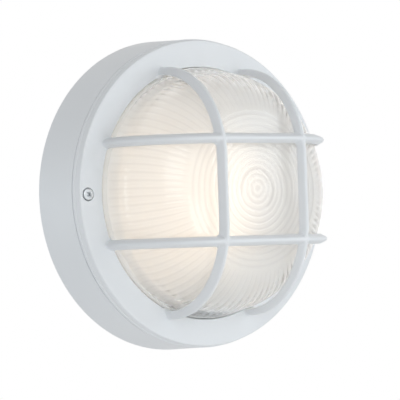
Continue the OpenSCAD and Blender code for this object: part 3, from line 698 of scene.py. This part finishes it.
# %% Guard bar path and profile
BAR_X, BAR_W, BAR_T, NOSE = 40.0, 8.6, 6.4, 2.1
FRONT_IN, CORNER, LEG_IN, ROOT = 124.6, 69.5, 94.8, 48.8
BEND_Y, BEND_DEPTH = LEG_IN - CORNER, FRONT_IN - CORNER
LEG, BEND = BEND_DEPTH - ROOT, CORNER * math.pi / 2
BACK_SLOPE, LEG_THINNER = 1.3, 0.15
BACK_FLAT, BACK_ROUND, FOOT_IN, FOOT_H, NOSE_POINTS = 1.8, 0.9, 0.35, 1.4, 13
LEAN = math.atan2(BAR_W / 2 - NOSE, BAR_T - NOSE)
SIDE_TOP = BAR_T - NOSE + NOSE * math.sin(LEAN)
HALF_LENGTH = LEG + BEND + BEND_Y


def bar_path(share):
    """The inner line of a bar from one foot to the other, for lengths along it in millimetres:
    a straight leg, a quarter circle, a straight front, and the same again in mirror image. Gives
    the place along the wall, the depth, and the direction that points outwards."""
    along = np.where(share > HALF_LENGTH, 2 * HALF_LENGTH - share, share)
    sign = np.where(share > HALF_LENGTH, -1.0, 1.0)
    angle = np.clip((along - LEG) / CORNER, 0, math.pi / 2)
    y = BEND_Y + CORNER * np.cos(angle) - np.maximum(along - LEG - BEND, 0)
    depth = np.minimum(ROOT + along, BEND_DEPTH) + CORNER * np.sin(angle)
    return sign * y, depth, sign * np.cos(angle), np.sin(angle)


def bar_profile():
    """Closed section (across, height): flat back with rounded corners, sloping sides, round
    nose."""
    turn = np.linspace(LEAN, math.pi - LEAN, NOSE_POINTS)
    nose = np.stack([NOSE * np.cos(turn), BAR_T - NOSE + NOSE * np.sin(turn)], axis=1)
    foot = np.array([-BAR_W / 2 + FOOT_IN, FOOT_H])
    back_corners = rounded([(-BAR_W / 2 + BACK_FLAT, 0, 0), (-BAR_W / 2, 0, BACK_ROUND),
                            (*foot, 0)], closed=False, steps=5)[1:-1]
    sides = nose[-1] + (foot - nose[-1]) * np.array([[0.33], [0.67]])
    left = np.concatenate([sides, back_corners[::-1]])
    return np.concatenate([nose, left, left[::-1] * [-1, 1]])


print("a bar is", round(2 * HALF_LENGTH), "mm long, its profile has", len(bar_profile()), "points")

# %% [markdown]
# Where two bars cross, a casting has a small fillet, so the sides of the lying bars swell there:
# at every height the swelling is the quarter circle that touches the side of the other bar. The
# feet flare in the same way where they grow out of the bezel. Rows of points stand close together
# at both places. A union with a Bevel would round them too, but it often fails on curved sides.

# %% Fillets
CROSS_FILLET, FOOT_FILLET = 1.6, 1.8
MIDDLE_R = CORNER + 4
CROSS_AT = LEG + CORNER * math.acos((BAR_X - BEND_Y) / MIDDLE_R)


def half_width(height):
    """Half the width of a bar at a height above its inner line, zero above its nose."""
    nose = np.sqrt(np.clip(NOSE ** 2 - (height - BAR_T + NOSE) ** 2, 0, None))
    side = BAR_W / 2 - (BAR_W / 2 - NOSE * math.cos(LEAN)) * np.clip(height / SIDE_TOP, 0, 1)
    return np.where(height < SIDE_TOP, side, nose)


def swelling(distance, fillet):
    """How far a fillet reaches out at a distance from the wall it runs into: all of its radius
    at the wall and behind it, nothing at one radius away."""
    inside = np.clip(fillet - distance, 0, fillet)
    return fillet - np.sqrt(fillet ** 2 - inside ** 2)


def bar_path_depth(place):
    """Depth of the inner line of a bar at a place along it, on its front or its round corner."""
    past_bend = np.clip(place - BEND_Y, 0, None)
    return BEND_DEPTH + np.sqrt(np.clip(CORNER ** 2 - past_bend ** 2, 0, None))


print("another bar is crossed", round(CROSS_AT), "mm along each bar")

# %% [markdown]
# The four bars differ only in their side and in whether they stand or lie, so one function makes
# them all. The legs get thinner and the back slopes before the fillets are added.

# %% Guard bars
BAR_ROWS, FOOT_ROWS, CROSS_ROWS = 120, (0, 6, 20), (-8, 8, 45)
FRONT_DEPTH = BEND_DEPTH + 20


def bar_shell(offset, lying):
    """One guard bar at a distance from the centre line, standing or lying: each point is the
    path's point plus its height along the outward direction, at its place across the bar."""
    total = 2 * HALF_LENGTH
    fine = np.concatenate([np.linspace(*FOOT_ROWS), CROSS_AT + np.linspace(*CROSS_ROWS)])
    share = np.unique(np.round(np.concatenate([
        np.linspace(0, total, BAR_ROWS), fine, total - fine]), 3))
    y, depth, out_y, out_depth = (v[:, None] for v in bar_path(share))
    across, height = bar_profile().T[:, None, :]
    away = 0.5 + np.sign(offset) * across / BAR_W
    height = (height * (1 - LEG_THINNER * (1 - out_depth))
              - BACK_SLOPE * away * (1 - height / BAR_T))
    point_y = y + height * out_y
    point_depth = depth + height * out_depth
    foot = swelling(point_depth - FACE, FOOT_FILLET)
    across_here = across * (1 + foot / (BAR_W / 2))
    if lying:
        other = bar_path_depth(np.abs(offset + across_here))
        beyond = np.abs(np.abs(point_y) - BAR_X) - half_width(point_depth - other)
        gain = swelling(beyond, CROSS_FILLET) * (point_depth > FRONT_DEPTH)
        across_here = across_here + np.sign(np.round(across, 3)) * gain
    height_here = height + foot * (height - BAR_T / 2) / (BAR_T / 2)
    point_y, point_depth = y + height_here * out_y, depth + height_here * out_depth
    x = offset + across_here
    return closed_shell(on_wall(point_y, x, point_depth) if lying
                        else on_wall(x, point_y, point_depth))


bars = [bar_shell(side * BAR_X, lying) for side in SIDES for lying in (False, True)]
guard = make_object("guard_bars", bars + cups, [white_coat], sharp=30)
for piece in (bezel, guard):
    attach(piece, "root")
    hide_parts("guard_frame")

# %% [markdown]
# ## The pressed glass
#
# The dome is one closed profile turned through the full circle: a slightly crowned front, a wide
# round shoulder, a side that swings out to its foot, a flange that the bezel holds, and the
# inside, one wall thickness away. The Screw modifier could turn it, but the ribs need a radius
# that changes with the angle. The arcs are written as formulas, so that outside and inside share
# the same centres.

# %% Glass sizes and arcs
GLASS_R, GLASS_BASE, GLASS_TOP, GLASS_T = 97.0, 101.2, 118.5, 3.6
SHOULDER, CROWN = 50.0, 456.0
FLANGE_IN, FLANGE_R, FLANGE_LOW, FLANGE_TOP = 103, 106.2, 39.7, 44.3
SHOULDER_X = GLASS_R - SHOULDER
TILT = math.asin(SHOULDER_X / (CROWN - SHOULDER))
SHOULDER_DEPTH = GLASS_TOP - CROWN + (CROWN - SHOULDER) * math.cos(TILT)


def dome_depth(r, inset):
    """Depth of the dome at a radius: the crown's large circle, then the shoulder's small one."""
    crown, shoulder = CROWN - inset, SHOULDER - inset
    on_crown = GLASS_TOP - CROWN + np.sqrt(np.clip(crown ** 2 - r ** 2, 0, None))
    on_shoulder = SHOULDER_DEPTH + np.sqrt(np.clip(shoulder ** 2 - (r - SHOULDER_X) ** 2, 0, None))
    return np.where(r < crown * math.sin(TILT), on_crown, on_shoulder)


def dome_side(angles, inset):
    """Points and outward normals on the shoulder, for angles above the side's foot in degrees."""
    a = np.radians(angles)
    r = SHOULDER_X + (SHOULDER - inset) * np.cos(a)
    depth = SHOULDER_DEPTH + (SHOULDER - inset) * np.sin(a)
    return np.stack([r, depth, np.cos(a), np.sin(a)], axis=1)


def side_radius(depth):
    """Radius of the glass below its shoulder: it swings out from the shoulder to the base along
    the smooth step 3 t^2 - 2 t^3."""
    t = np.clip((SHOULDER_DEPTH - depth) / (SHOULDER_DEPTH - FACE), 0, 1)
    return GLASS_R + (GLASS_BASE - GLASS_R) * t ** 2 * (3 - 2 * t)


def rows(points, normal=(0, 0)):
    """Profile rows (radius, depth, normal) that all share one normal."""
    points = np.array(points, float)
    return np.concatenate([points, np.tile(normal, (len(points), 1))], axis=1)


print("the shoulder begins", round(SHOULDER_DEPTH, 1), "mm from the wall")

# %% [markdown]
# The outline is put together row by row, from the middle of the front out, down the side, round
# the flange and back along the inside. On the front there are four rows to each ring. Shoulder
# and front meet at an angle above the shoulder's foot, given in degrees.

# %% Glass outline
RINGS, RING_PITCH, RING_SHIFT = 13, 4.95, 1.27
FRONT_EDGE, INNER_EDGE = 67.5, 78
ring_r = np.append(0.3, np.arange(0.5, RINGS + 0.01, 0.25) * RING_PITCH - RING_SHIFT)
front = rows(np.stack([ring_r, dome_depth(ring_r, 0)], axis=1), (0, 1))
shoulder = dome_side(np.linspace(FRONT_EDGE, 0, 24), 0)
side_depth = np.array([64.5, 63, 61.5, 60, 58.5, 57, 55.5, 54, 53, 52, 50, 48])
side = rows(np.stack([side_radius(side_depth), side_depth], axis=1), (1, 0))
root = rows(rounded([(GLASS_BASE, FLANGE_TOP + 3, 0), (GLASS_BASE, FLANGE_TOP, 0.4),
                     (FLANGE_IN, FLANGE_TOP, 0)], closed=False, steps=4)[1:-1])
flange = rows(rounded([(FLANGE_IN, FLANGE_TOP, 0), (FLANGE_R, FLANGE_TOP, 0.9),
                       (FLANGE_R, FLANGE_LOW, 0.9), (GLASS_BASE - GLASS_T, FLANGE_LOW, 0.6),
                       (GLASS_BASE - GLASS_T, 50, 0)], closed=False, steps=4))
inner_depth = np.array([53.0, 56, 59, 62])
inner_foot = rows(np.stack([side_radius(inner_depth) - GLASS_T, inner_depth], axis=1))
inner_side = dome_side(np.linspace(0, INNER_EDGE, 14), GLASS_T)
inner_r = np.array([46.0, 36.0, 24.0, 12.0])
inner_front = rows(np.stack([inner_r, dome_depth(inner_r, GLASS_T)], axis=1))
outline = np.concatenate([front, shoulder, side, root, flange, inner_foot, inner_side,
                          inner_front])
print("glass outline:", len(outline), "rows")

# %% [markdown]
# Two patterns are then pressed in along the outline's normal. 92 ribs run down the shoulder and
# the side and fade out at the foot: each bulges like a shallow parabola between two sharp
# valleys. Thirteen rings on the front have the same form, and one valley among them is deeper.
# Both patterns are functions of the place on the outline and the angle, so the ribs needn't be
# modelled one by one.

# %% Ribs and rings
RIBS, RIB_DEPTH, RIB_END, RIB_FADE, ROWS_PER_RIB = 92, 0.35, 53, 8, 8
RING_DEPTH, DEEP_RING, DEEP_WIDTH, DEEP_MORE = 0.3, 3.5, 1.5, 0.9
ribbed = np.zeros(len(outline))
first_rib, last_rib = len(front), len(front) + len(shoulder) + len(side)
ribbed[first_rib:last_rib] = 1
ribbed[first_rib] = 0.5
ribbed[last_rib - len(side):last_rib] = np.clip((side_depth - RIB_END) / RIB_FADE, 0, 1)

turn = full_circle(RIBS * ROWS_PER_RIB)
in_rib = (turn * RIBS / (2 * np.pi) + 0.5) % 1 - 0.5
radius, depth = outline[:, :1], outline[:, 1:2]
rib_cut = RIB_DEPTH * ribbed[:, None] * np.clip(radius / GLASS_R, 0, 1) * (2 * in_rib) ** 2
ring_place = radius + RING_SHIFT
in_ring = ring_place / RING_PITCH - np.round(ring_place / RING_PITCH)
is_front = (np.arange(len(outline)) < len(front))[:, None]
deeper = DEEP_MORE * np.exp(-((ring_place - DEEP_RING * RING_PITCH) / DEEP_WIDTH) ** 2)
ring_cut = np.where(is_front, RING_DEPTH * (1 + deeper) * (2 * in_ring) ** 2, 0)
pressed = rib_cut + ring_cut
radius_cut = radius - pressed * outline[:, 2:3]
depth_cut = depth - pressed * outline[:, 3:4]
dome = closed_shell(on_wall(radius_cut * np.cos(turn), radius_cut * np.sin(turn), depth_cut))
print("deepest rib:", rib_cut.max().round(2), "mm, deepest ring:", ring_cut.max().round(2), "mm")

# %% [markdown]
# The mesh gets its three glass finishes by place: inside, foot and outside. The number that the
# outside finish reads is stored at every point and paints shade into the glass: a sharp line in
# each rib's valley and a soft one on its bulge, because thick pressed glass bends light into fine
# pairs of lines.

# %% Glass
HALF_WALL, FOOT_TOP = 1.5, 56.0
VALLEY_SHADE, BULGE_SHADE = 0.6, 0.4


def glass_face(middles):
    """Inside faces get material 1, by their distance from the outer profile; outside ones get 2
    at the foot and 0 above it."""
    r = np.hypot(middles[:, 0], middles[:, 2]) / MM
    d = -middles[:, 1] / MM
    above = np.clip((SHOULDER - HALF_WALL) ** 2 - (d - SHOULDER_DEPTH) ** 2, 0, None)
    inner_r = np.where(d > SHOULDER_DEPTH, SHOULDER_X + np.sqrt(above),
                       side_radius(d) - HALF_WALL)
    inside = (r < inner_r) & (d < dome_depth(r, HALF_WALL))
    return np.select([inside, d < FOOT_TOP], [1, 2], 0)


glass = make_object("ribbed_glass_dome", [dome], [dome_outside, dome_inside, dome_foot],
                    sharp=25, choose=glass_face)
# Painted shade, stored at the points: a sharp line in each rib's valley, a soft one on its bulge,
# and the rings' valleys.
rib_line = VALLEY_SHADE * (2 * in_rib) ** 2 + BULGE_SHADE * np.cos(2 * np.pi * in_rib) ** 2
line = ribbed[:, None] * rib_line + ring_cut / RING_DEPTH
line_mark = glass.data.attributes.new(PAINTED_SHADE_NAME, "FLOAT", "POINT")
line_mark.data.foreach_set("value", np.append(line.ravel(), [0, 0]).astype(np.float32))
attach(glass, "root")
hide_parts("glass_dome")

# %% [markdown]
# ## The two cover screws
#
# Each is a stainless pan-head screw. Its head stands a little proud of the pocket, which leaves
# only a thin dark ring round it. The outline is put together from straight rows, a rounded rim,
# a quarter of an ellipse for the brow and a low dome on top.

# %% Screw outline
HEAD_LOW, HEAD_R, HEAD_H, HEAD_SIDE, BROW_IN, BROW_H = 49.0, 4.6, 3.7, 2.7, 1.2, 0.75
SHANK_R, SHANK_LOW, PITCH = 2.0, 25.0, 0.7
CROWN_FROM, CROWN_R, CROWN_H = 2.75, 2.8, 0.25


def screw_outline():
    """Rows of (radius, depth): the shank, the head's rim, its round brow and its domed top."""
    shank_depth = np.arange(SHANK_LOW + 0.6, HEAD_LOW - 0.1, PITCH / 6)
    shank = np.stack([np.full_like(shank_depth, SHANK_R), shank_depth], axis=1)
    rim = rounded([(SHANK_R, HEAD_LOW, 0), (HEAD_R, HEAD_LOW, 0.3),
                   (HEAD_R, HEAD_LOW + HEAD_SIDE, 0.2)], closed=False, steps=4)
    sweep = np.linspace(0, 1, 9)[1:] * math.pi / 2
    brow = np.stack([HEAD_R - BROW_IN * (1 - np.cos(sweep)),
                     HEAD_LOW + HEAD_SIDE + BROW_H * np.sin(sweep)], axis=1)
    top_r = np.linspace(CROWN_FROM, 0.1, 27)
    top = np.stack([top_r, HEAD_LOW + HEAD_H - CROWN_H * (top_r / CROWN_R) ** 2], axis=1)
    return np.concatenate([[[SHANK_R * 0.5, SHANK_LOW]], shank, rim, brow, top])


print("screw outline:", len(screw_outline()), "rows")

# %% [markdown]
# The thread is a wave in the shank's radius that climbs one pitch per turn. The cross recess is
# a depth taken off the head: it is deep inside a cross of two slots, with sloping walls and
# ends, and turned by the angle at which the screw was driven home. A Boolean could cut it, but a
# depth on a grid leaves a clean mesh.

# %% Cover screws
THREAD_DEPTH, SLOT_HALF, SLOT_REACH, SLOT_DEEP = 0.35, 0.8, 2.1, 2.0
SLOT_SLOPE, END_SLOPE = 0.25, 0.6


def cross_recess(x, y):
    """Depth of a cross recess at a point: both slots run to the same reach, walls slope."""
    in_slot = np.clip((SLOT_HALF - np.minimum(np.abs(x), np.abs(y))) / SLOT_SLOPE, 0, 1)
    in_reach = np.clip((SLOT_REACH - np.maximum(np.abs(x), np.abs(y))) / END_SLOPE, 0, 1)
    return SLOT_DEEP * in_slot * in_reach


def pan_screw(x, y, turn_by):
    """The outline turned about the screw's axis, with a helical wave in the shank's radius and
    the recess taken off the top of the head."""
    outline = screw_outline()
    angle = full_circle(AROUND_SMALL)
    r, d = outline[:, :1], outline[:, 1:2]
    in_thread = (r == SHANK_R) & (d < HEAD_LOW - 0.3)
    wave = np.abs(((d / PITCH + angle / (2 * np.pi)) % 1) - 0.5) * 2
    r = r - np.where(in_thread, THREAD_DEPTH * wave, 0)
    across, along = r * np.cos(angle), r * np.sin(angle)
    turned_x = across * math.cos(turn_by) + along * math.sin(turn_by)
    turned_y = -across * math.sin(turn_by) + along * math.cos(turn_by)
    is_top = d > HEAD_LOW + HEAD_H - 0.4
    dip = np.where(is_top, cross_recess(turned_x, turned_y), 0)
    return closed_shell(on_wall(x + across, y + along, d - dip))


cover_screws = make_object("cover_screw_pair", [
    pan_screw(side * SCREW_R, 0, math.radians(turn_by))
    for side, turn_by in zip(SIDES, (45, 65))], [stainless], sharp=35)
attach(cover_screws, "root")
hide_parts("cover_screws")

# %% [markdown]
# ## The bulb
#
# A round opal bulb lies across the dish, cap downwards. The globe is a sphere that runs into a
# neck through a wide curve; the cap is nickel with a rolled round thread, and a black insulator
# carries the contact at its tip. Globe, cap and tip could be three pieces, but one outline turned
# about the bulb's own axis has no gaps between them.

# %% Bulb outline
BULB_DEPTH, BULB_TIP, GLOBE_Y, GLOBE_R, CAP_R = 43.0, -68.2, 9.8, 30.0, 13.0
CAP_LOW, CAP_HIGH, THREAD_PITCH = BULB_TIP + 5.2, BULB_TIP + 24.5, 3.6
NECK_ANGLE, TOP_ANGLE, GLOBE_PULL, CAP_PULL = -62, 88.5, 9, 7
tip = rounded([(0.6, BULB_TIP, 0), (3.8, BULB_TIP, 0.8), (4.6, BULB_TIP + 1.6, 0.5),
               (9.5, BULB_TIP + 3.6, 0.8), (CAP_R - 0.9, CAP_LOW, 0.4),
               (CAP_R - 0.6, CAP_LOW + 0.6, 0)], closed=False, steps=5)
cap_y = np.arange(CAP_LOW + 0.9, CAP_HIGH, THREAD_PITCH / 10)
cap = np.stack([np.full_like(cap_y, CAP_R), cap_y], axis=1)
neck_end = math.radians(NECK_ANGLE)
globe_turn = np.linspace(neck_end, math.radians(TOP_ANGLE), 46)
globe = np.stack([GLOBE_R * np.cos(globe_turn), GLOBE_Y + GLOBE_R * np.sin(globe_turn)], axis=1)
share = np.linspace(0, 1, 14)[1:-1, None]
neck_from, neck_to = np.array([CAP_R - 0.5, CAP_HIGH + 1.0]), globe[0]
globe_pull = np.array([-math.sin(neck_end), math.cos(neck_end)]) * GLOBE_PULL
neck = ((1 - share) ** 3 * neck_from + 3 * (1 - share) ** 2 * share * (neck_from + [0, CAP_PULL])
        + 3 * (1 - share) * share ** 2 * (neck_to - globe_pull) + share ** 3 * neck_to)
bulb_outline = np.concatenate([tip, cap, [neck_from], neck, globe])
print("bulb outline:", len(bulb_outline), "rows")

# %% [markdown]
# The neck above is a cubic curve between cap and globe that leaves each along its own direction.
# The rolled thread is a cosine in the cap's radius that moves on by one pitch per turn and fades
# at both ends of the cap.

# %% Bulb
THREAD_MEAN, THREAD_HALF, THREAD_FADE = 0.55, 0.45, 2
OPAL_FROM, CONTACT_TO = CAP_HIGH + 0.9, BULB_TIP + 1.5
turn = full_circle(96)
r, y = bulb_outline[:, :1], bulb_outline[:, 1:2]
in_cap = (r == CAP_R) & (y > CAP_LOW)
fade = (np.clip((y - CAP_LOW) / THREAD_FADE, 0, 1)
        * np.clip((CAP_HIGH - y) / THREAD_FADE, 0, 1))
thread = THREAD_MEAN + THREAD_HALF * fade * np.cos(2 * np.pi * y / THREAD_PITCH + turn)
r = r - np.where(in_cap, thread, 0)
bulb_shell = closed_shell(on_wall(r * np.cos(turn), y, BULB_DEPTH + r * np.sin(turn)))


def bulb_face(middles):
    """Opal above the cap, nickel on the cap and on the contact, black between them."""
    height = middles[:, 2] / MM
    return np.select([height > OPAL_FROM, height > CAP_LOW, height > CONTACT_TO],
                     [0, 1, 2], 1)


bulb = make_object("opal_bulb", [bulb_shell], [lit_opal, nickel, pitch], sharp=50,
                   choose=bulb_face)
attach(bulb, "root")
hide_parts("bulb")

# %% [markdown]
# ## Finishes for the parts that keep their CAD shape
#
# The other pieces are shown as the CAD model made them, because the etched glass blurs them or
# the wall hides them. Each gets the finish of its material slot.

# %% Finishes on the CAD parts
finishes = {
    "foam": [foam, "wall_gasket"],
    "black_rubber": [black_rubber, "cable_grommet"],
    "white_enamel": [enamel, "reflector"],
    "zinc_steel": [zinc, "reflector_screws", "lampholder_bracket", "bracket_screws",
                   "holder_screws", "terminal_clamp_screws", "terminal_fixing_screw"],
    "porcelain": [porcelain, "lampholder_body"],
    "brass": [brass, "holder_terminal_screws", "socket_shell", "centre_contact",
              "terminal_barrels", "earth_screw", "earth_washer"],
    "white_nylon": [nylon, "terminal_block"],
    "brown_insulation": [brown_lead, "live_lead"],
    "blue_insulation": [blue_lead, "neutral_lead"],
    "grey_rubber": [grey_rubber, "glass_gasket", "cover_screw_washers"],
}
for slot_name, (material, *names) in finishes.items():
    for name in names:
        part = nodes[name]
        part.data.materials.clear()
        part.data.materials.append(material)
    print(slot_name, "on", ", ".join(names))
